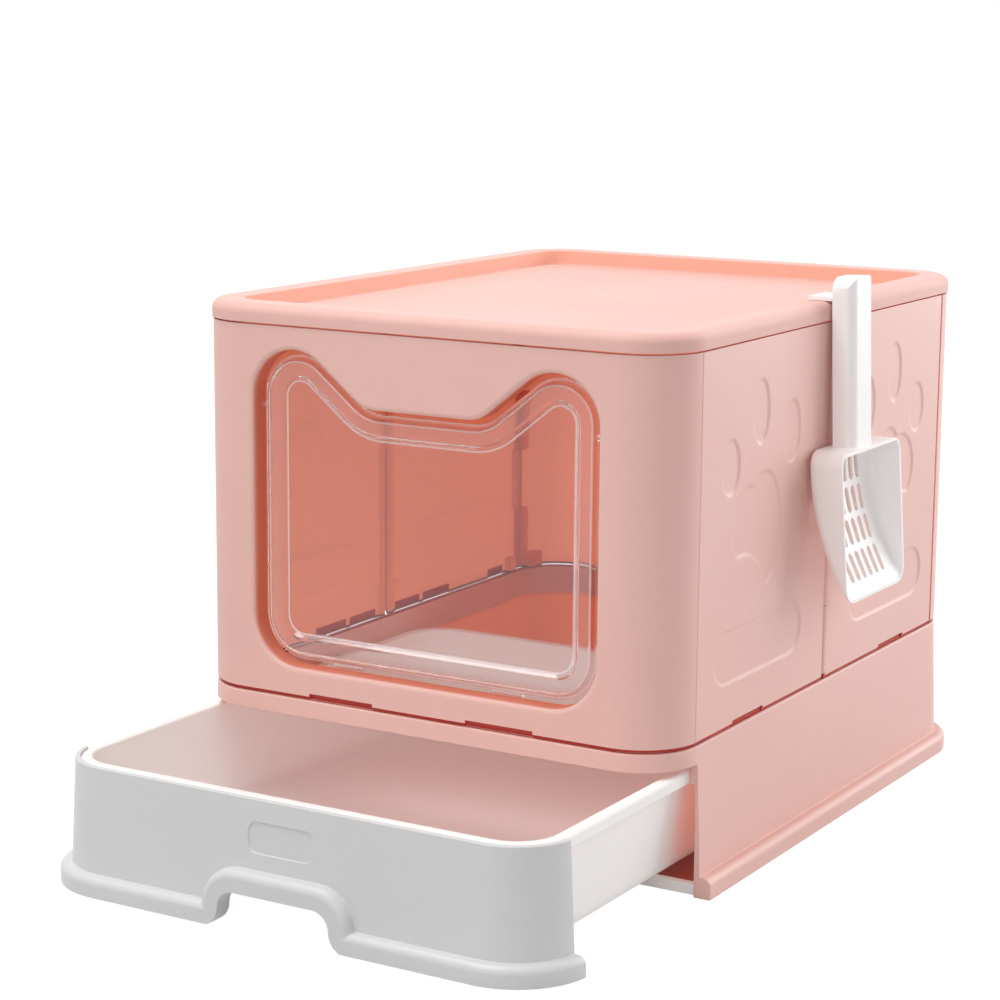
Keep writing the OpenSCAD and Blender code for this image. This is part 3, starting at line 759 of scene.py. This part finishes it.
reliefSettings = {
    # v runs along the wall from the middle hinge, z up from the panel's lower edge
    # an ellipse has its centre's v and z, then its two half sizes
    "toes": ((0.050, 0.134, 0.0115, 0.017), (0.0655, 0.187, 0.013, 0.0215),
             (0.115, 0.2065, 0.012, 0.0215), (0.160, 0.175, 0.013, 0.0182)),
    "pad": ((0.107, 0.126, 0.027, 0.0395), (0.1295, 0.132, 0.027, 0.026)),
    "padCut": (0.140, 0.073, 0.040),  # a circle's centre and radius
    "bar": (0.061, 0.161, 0.0475, 0.0179),  # its two end centres, height and end radius
    "hingeY": -0.0025,
    "depth": 0.001,
    "innerShare": 0.8,  # how much of the depth shows on the inner face
    "slope": 0.0017,
    "patch": (0.034, 0.184, 0.024, 0.232),  # least and most v, least and most z
    "cells": (128, 178),
    "innerCells": (64, 89),
    "edge": 0.0005,
    "rim": 0.003,  # shorter edges stay as they are
    "flatness": 0.999,  # the least that a face looks straight out
    "near": 1e-5,  # how close to a plane a face counts as in it
    "nearLevel": 5e-6,
    "nearAim": 1e-4,
    "cutGap": 1e-6,
}


def ellipseDistance(v, z, ellipse):
    across, up, halfAcross, halfUp = ellipse
    near = math.hypot((v - across) / halfAcross, (z - up) / halfUp)
    if near < 0.01:  # at the centre the formula below has no value
        return -min(halfAcross, halfUp)
    steep = math.hypot((v - across) / halfAcross ** 2, (z - up) / halfUp ** 2)
    return near * (near - 1) / steep


def reliefDepth(v, z, plan):
    toes = min(ellipseDistance(v, z, toe) for toe in plan["toes"])
    pad = min(ellipseDistance(v, z, part) for part in plan["pad"])
    cutV, cutZ, cutRadius = plan["padCut"]
    pad = max(pad, cutRadius - math.hypot(v - cutV, z - cutZ))
    low, high, height, radius = plan["bar"]
    bar = math.hypot(v - min(high, max(low, v)), z - height) - radius
    share = min(1.0, max(0.0, 0.5 - min(toes, pad, bar) / plan["slope"]))
    return plan["depth"] * share * share * (3 - 2 * share)


def reliefTable(cells, plan):
    v0, v1, z0, z1 = plan["patch"]
    columns, rows = cells
    return {
        (i, j): reliefDepth(v0 + (v1 - v0) * i / columns, z0 + (z1 - z0) * j / rows, plan)
        for i in range(columns + 1) for j in range(rows + 1)
    }


def eachOnce(parts):
    return list(dict.fromkeys(parts))


def sortParts(work):
    # cuts and merges leave an order that changes from run to run, so each part is put in its place's order
    order = sorted(work.verts, key=lambda vert: tuple(vert.co))
    order += sorted(work.faces, key=lambda face: tuple(face.calc_center_median()))
    for number, part in enumerate(order):
        part.index = number
    work.verts.sort()
    work.faces.sort()


def splitEvenly(edge, count):
    start, far = edge.verts
    first, last = start.co.copy(), far.co.copy()
    for step in range(1, count):
        added = bmesh.utils.edge_split(edge, start, 0.5)[1]
        added.co = first.lerp(last, step / count)
        edge = next(one for one in added.link_edges if one.other_vert(added) is far)
        start = added


def cutPatch(work, planeX, spanY, spanZ, plan):
    # cuts the patch into the flat face at planeX, clears what lies in it and returns it as one face
    lowY, highY = spanY
    lowZ, highZ = spanZ
    for place, direction in (((0, lowY, 0), (0, 1, 0)), ((0, highY, 0), (0, 1, 0)),
                             ((0, 0, lowZ), (0, 0, 1)), ((0, 0, highZ), (0, 0, 1))):
        flat = [face for face in work.faces if abs(face.normal.x) > plan["flatness"]
                and abs(face.calc_center_median().x - planeX) < plan["near"]]
        cut = flat + [part for face in flat for part in (*face.edges, *face.verts)]
        bmesh.ops.bisect_plane(work, geom=eachOnce(cut), dist=plan["cutGap"], plane_co=place,
                               plane_no=direction)
    inside = []
    for face in work.faces:
        x, y, z = face.calc_center_median()
        if abs(x - planeX) < plan["near"] and lowY < y < highY and lowZ < z < highZ:
            inside.append(face)
    crossing = [edge for face in inside for edge in face.edges if set(inside).issuperset(edge.link_faces)]
    if crossing:
        bmesh.ops.dissolve_edges(work, edges=eachOnce(crossing), use_verts=False)
    aim = Vector((planeX, (lowY + highY) / 2, (lowZ + highZ) / 2))
    return next(face for face in work.faces if abs(face.normal.x) > plan["flatness"]
                and (face.calc_center_bounds() - aim).length < plan["nearAim"])


def setInPatch(work, planeX, facing, end, share, cells, plan):
    # fills a patch of the flat face at planeX with a fine grid that carries the relief
    side = math.copysign(1, planeX)
    v0, v1, z0, z1 = plan["patch"]
    columns, rows = cells
    spanY = sorted((plan["hingeY"] + end * v0, plan["hingeY"] + end * v1))
    lowZ, highZ = panelBottom + z0, panelBottom + z1
    middle = cutPatch(work, planeX, spanY, (lowZ, highZ), plan)

    def gridPlace(vert):
        across = round((end * (vert.co.y - plan["hingeY"]) - v0) / (v1 - v0) * columns)
        return across, round((vert.co.z - lowZ) / (highZ - lowZ) * rows)

    def gridPoint(i, j):
        return plan["hingeY"] + end * (v0 + (v1 - v0) * i / columns), lowZ + (highZ - lowZ) * j / rows

    for vert in middle.verts:
        vert.co.y, vert.co.z = gridPoint(*gridPlace(vert))
    for edge in list(middle.edges):
        first, last = (gridPlace(vert) for vert in edge.verts)
        splitEvenly(edge, abs(first[0] - last[0]) + abs(first[1] - last[1]))
    grid = {gridPlace(vert): vert for vert in middle.verts}
    bmesh.ops.delete(work, geom=[middle], context="FACES_ONLY")
    for (i, j), depth in reliefTable(cells, plan).items():
        if (i, j) not in grid:
            grid[i, j] = work.verts.new((planeX - side * share * depth, *gridPoint(i, j)))
    turned = facing * end < 0
    for i in range(columns):
        for j in range(rows):
            corners = [grid[i, j], grid[i + 1, j], grid[i + 1, j + 1], grid[i, j + 1]]
            if turned:
                corners.reverse()
            work.faces.new(corners)


def makeSideHalf(node, name, side, end, plan, mould):
    innerX = halfWidth - wallPlan["wall"]
    levels = ((halfWidth - plan["depth"], halfWidth), (innerX - plan["innerShare"] * plan["depth"], innerX))
    work = mergedWork(node, mould)
    for vert in work.verts:
        for old, new in levels:
            if abs(abs(vert.co.x) - old) < plan["nearLevel"]:
                vert.co.x = side * new
    mergePoints(work, mould)
    clearFlats(work, mould)
    work.normal_update()
    rims = [edge for edge in work.edges if len(edge.link_faces) == 2 and edge.calc_length() > plan["rim"]
            and all(abs(abs(vert.co.x) - halfWidth) < plan["nearLevel"] for vert in edge.verts)
            and edge.calc_face_angle() > math.radians(mould["edgeAngle"])]
    bmesh.ops.bevel(work, geom=rims, offset=plan["edge"], segments=mould["edgeSegments"],
                    affect="EDGES", profile=0.5)
    work.normal_update()
    setInPatch(work, side * halfWidth, side, end, 1.0, plan["cells"], plan)
    work.normal_update()
    setInPatch(work, side * innerX, -side, end, plan["innerShare"], plan["innerCells"], plan)
    sortParts(work)
    piece = linkPiece(name, meshFrom(work, name))
    softenEdges(piece, 0, mould)
    finishPiece(piece, node, "pinkPanel")
    print("moulded", name, len(piece.data.polygons), "faces")


makeSideHalf("right_front_side", "rightFrontSide", 1, -1, reliefSettings, mouldSettings)
makeSideHalf("right_rear_side", "rightRearSide", 1, 1, reliefSettings, mouldSettings)
makeSideHalf("left_front_side", "leftFrontSide", -1, -1, reliefSettings, mouldSettings)
makeSideHalf("left_rear_side", "leftRearSide", -1, 1, reliefSettings, mouldSettings)


# door: a clear sheet with a hollow bead, swept round the doorway's outline

doorSettings = {
    "halfWidth": 0.136,
    "earRadius": 0.0345,
    "earHeight": 0.2063,
    "earSlope": 38.7,  # degrees
    "valleyRadius": 0.025,
    "valleyHeight": 0.2048,
    "footRadius": 0.036,
    "footHeight": 0.0538,
    "arcSteps": {"valley": 12, "ear": 40, "foot": 28},
    "pathInset": 0.013,  # where the swept line runs, inside the doorway's edge
    "beadHeight": 0.0032,
    # corners of the swept section: inset from the doorway's edge, depth behind the sheet's front, radius
    "section": (
        (0.0245, 0, 0), (0.0230, 0, 0.0016), (0.0198, -0.0032, 0.0024), (0.0096, -0.0032, 0.0014),
        (0.0074, 0, 0.0008), (0.0052, 0, 0.0006), (0.0052, 0.002, 0.0006), (0.0084, 0.002, 0.0003),
        (0.0104, -0.0012, 0.0008), (0.0190, -0.0012, 0.0016), (0.0222, 0.002, 0.0010), (0.0245, 0.002, 0),
    ),
    "cornerSteps": 5,
    "brightCorners": (1, 3, 5),  # narrow roundings of the section, drawn as bright lines: real reflection plus a painted pale veil
    "mergeGap": 1e-6,
    "tabs": (-0.063, 0.063),
    "tabSize": (0.025, 0.002, 0.003),
    "tabDrop": 0.0026,
    "tabEdge": 0.0004,
    "tabSegments": 2,
}


def arcPoints(centreX, centreZ, radius, start, end, count):
    angles = [math.radians(start + (end - start) * i / count) for i in range(count + 1)]
    return [(centreX + radius * math.cos(angle), centreZ + radius * math.sin(angle)) for angle in angles]


def doorOutline(inset, plan):
    tilt, steps = plan["earSlope"], plan["arcSteps"]
    slope = math.radians(tilt)
    earX = plan["halfWidth"] - plan["earRadius"]
    valleyZ = plan["valleyHeight"] + plan["valleyRadius"]
    reach = plan["earRadius"] + plan["valleyRadius"] - (valleyZ - plan["earHeight"]) * math.cos(slope)
    valleyX = earX - reach / math.sin(slope)
    footX = plan["halfWidth"] - plan["footRadius"]
    half = arcPoints(valleyX, valleyZ, plan["valleyRadius"] + inset, -90, tilt - 90, steps["valley"])
    half += arcPoints(earX, plan["earHeight"], plan["earRadius"] - inset, 90 + tilt, 0, steps["ear"])
    half += arcPoints(footX, plan["footHeight"], plan["footRadius"] - inset, 0, -90, steps["foot"])
    whole = half + [(-x, z) for x, z in reversed(half)]
    return [(x, panelBottom + z) for x, z in reversed(whole)]


def roundedLine(corners, count):
    # points of the line, and for each point the corner it belongs to
    points, owners = [], []
    for i, (across, deep, radius) in enumerate(corners):
        here = Vector((across, deep))
        if radius == 0:
            points.append(here)
            owners.append(i)
            continue
        back = (Vector(corners[i - 1][:2]) - here).normalized()
        ahead = (Vector(corners[i + 1][:2]) - here).normalized()
        half = back.angle(ahead) / 2
        centre = here + (back + ahead).normalized() * radius / math.sin(half)
        first = here + back * radius / math.tan(half) - centre
        last = here + ahead * radius / math.tan(half) - centre
        turn = first.angle_signed(last)
        for step in range(count + 1):
            angle = -turn * step / count
            points.append(centre + Matrix.Rotation(angle, 2) @ first)
            owners.append(i)
    return points, owners


def makeSweepTree(material):
    tree = bpy.data.node_groups.new("beadSweep", "GeometryNodeTree")
    sockets = tree.interface
    sockets.new_socket("Geometry", in_out="INPUT", socket_type="NodeSocketGeometry")
    sectionSocket = sockets.new_socket("Section", in_out="INPUT", socket_type="NodeSocketObject")
    sockets.new_socket("Geometry", in_out="OUTPUT", socket_type="NodeSocketGeometry")
    entry = tree.nodes.new("NodeGroupInput")
    leave = tree.nodes.new("NodeGroupOutput")
    path = tree.nodes.new("GeometryNodeMeshToCurve")
    level = tree.nodes.new("GeometryNodeSetCurveNormal")
    level.mode = "Z_UP"
    info = tree.nodes.new("GeometryNodeObjectInfo")
    section = tree.nodes.new("GeometryNodeMeshToCurve")
    sweep = tree.nodes.new("GeometryNodeCurveToMesh")
    real = tree.nodes.new("GeometryNodeRealizeInstances")
    paint = tree.nodes.new("GeometryNodeSetMaterial")
    paint.inputs["Material"].default_value = material
    tree.links.new(entry.outputs["Geometry"], path.inputs["Mesh"])
    tree.links.new(path.outputs["Curve"], level.inputs["Curve"])
    tree.links.new(level.outputs["Curve"], sweep.inputs["Curve"])
    tree.links.new(entry.outputs["Section"], info.inputs["Object"])
    tree.links.new(info.outputs["Geometry"], section.inputs["Mesh"])
    tree.links.new(section.outputs["Curve"], sweep.inputs["Profile Curve"])
    tree.links.new(sweep.outputs["Mesh"], real.inputs["Geometry"])
    tree.links.new(real.outputs["Geometry"], paint.inputs["Geometry"])
    tree.links.new(paint.outputs["Geometry"], leave.inputs["Geometry"])
    return tree, sectionSocket.identifier


def lineObject(name, points, closed):
    mesh = bpy.data.meshes.new(name)
    count = len(points)
    edges = [(i, i + 1) for i in range(count - 1)]
    if closed:
        edges.append((count - 1, 0))
    mesh.from_pydata([(x, y, 0) for x, y in points], edges, [])
    return linkPiece(name, mesh)


def addTab(work, place, sheetFront, plan):
    # small ledge on the sheet's lower edge, which has the section's least inset
    least = min(corner[0] for corner in plan["section"])
    edgeZ = panelBottom + plan["footHeight"] - plan["footRadius"] + least
    width, deep, tall = plan["tabSize"]
    middle = (place, sheetFront + deep / 2, edgeZ - plan["tabDrop"] + tall / 2)
    spread = Matrix.Translation(middle) @ Matrix.Diagonal((width, deep, tall, 1))
    tab = bmesh.ops.create_cube(work, size=1, matrix=spread)["verts"]
    around = eachOnce(edge for vert in tab for edge in vert.link_edges)
    bmesh.ops.bevel(work, geom=around, offset=plan["tabEdge"], segments=plan["tabSegments"],
                    affect="EDGES", profile=0.5)


def makeDoor(plan):
    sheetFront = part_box("door_flap")[0][1] + plan["beadHeight"]
    line, owners = roundedLine(plan["section"], plan["cornerSteps"])
    path = lineObject("doorPath", doorOutline(plan["pathInset"], plan), True)
    outward = [(plan["pathInset"] - across, deep) for across, deep in line]
    section = lineObject("doorSection", outward, False)
    tree, identifier = makeSweepTree(finishes["clearBead"][0])
    sweep = path.modifiers.new("sweep", "NODES")
    sweep.node_group = tree
    sweep[identifier] = section
    freezeModifiers(path)
    bpy.data.objects.remove(section)
    work = bmesh.new()
    work.from_mesh(path.data)
    bpy.data.objects.remove(path)
    for vert in work.verts:
        across, up, out = vert.co
        vert.co = (across, sheetFront - out, up)
    steps = len(line) - 1
    for i, face in enumerate(work.faces):
        owner = owners[i % steps]
        bright = owner in plan["brightCorners"] and owner == owners[i % steps + 1]
        face.material_index = 2 if bright else 0
    bmesh.ops.remove_doubles(work, verts=work.verts, dist=plan["mergeGap"])
    rims = [edge for edge in work.edges if edge.is_boundary]
    sheets = bmesh.ops.holes_fill(work, edges=rims, sides=0)["faces"]
    for face in sheets:
        face.material_index = 1
    for place in plan["tabs"]:
        addTab(work, place, sheetFront, plan)
    bmesh.ops.recalc_face_normals(work, faces=work.faces)
    for face in work.faces:
        face.smooth = True
    piece = linkPiece("doorFlap", meshFrom(work, "doorFlap"))
    finishPiece(piece, "door_flap", "clearBead", "clear", "paintedClearLine")
    print("door swept,", len(piece.data.polygons), "faces,", len(sheets), "flat sheets")


makeDoor(doorSettings)

# the pins keep their CAD shape
for node, piece in cadNodes.items():
    if node.endswith("_pin"):
        piece.data.materials.clear()
        piece.data.materials.append(finishes["steel"][0])
print("pins finished")
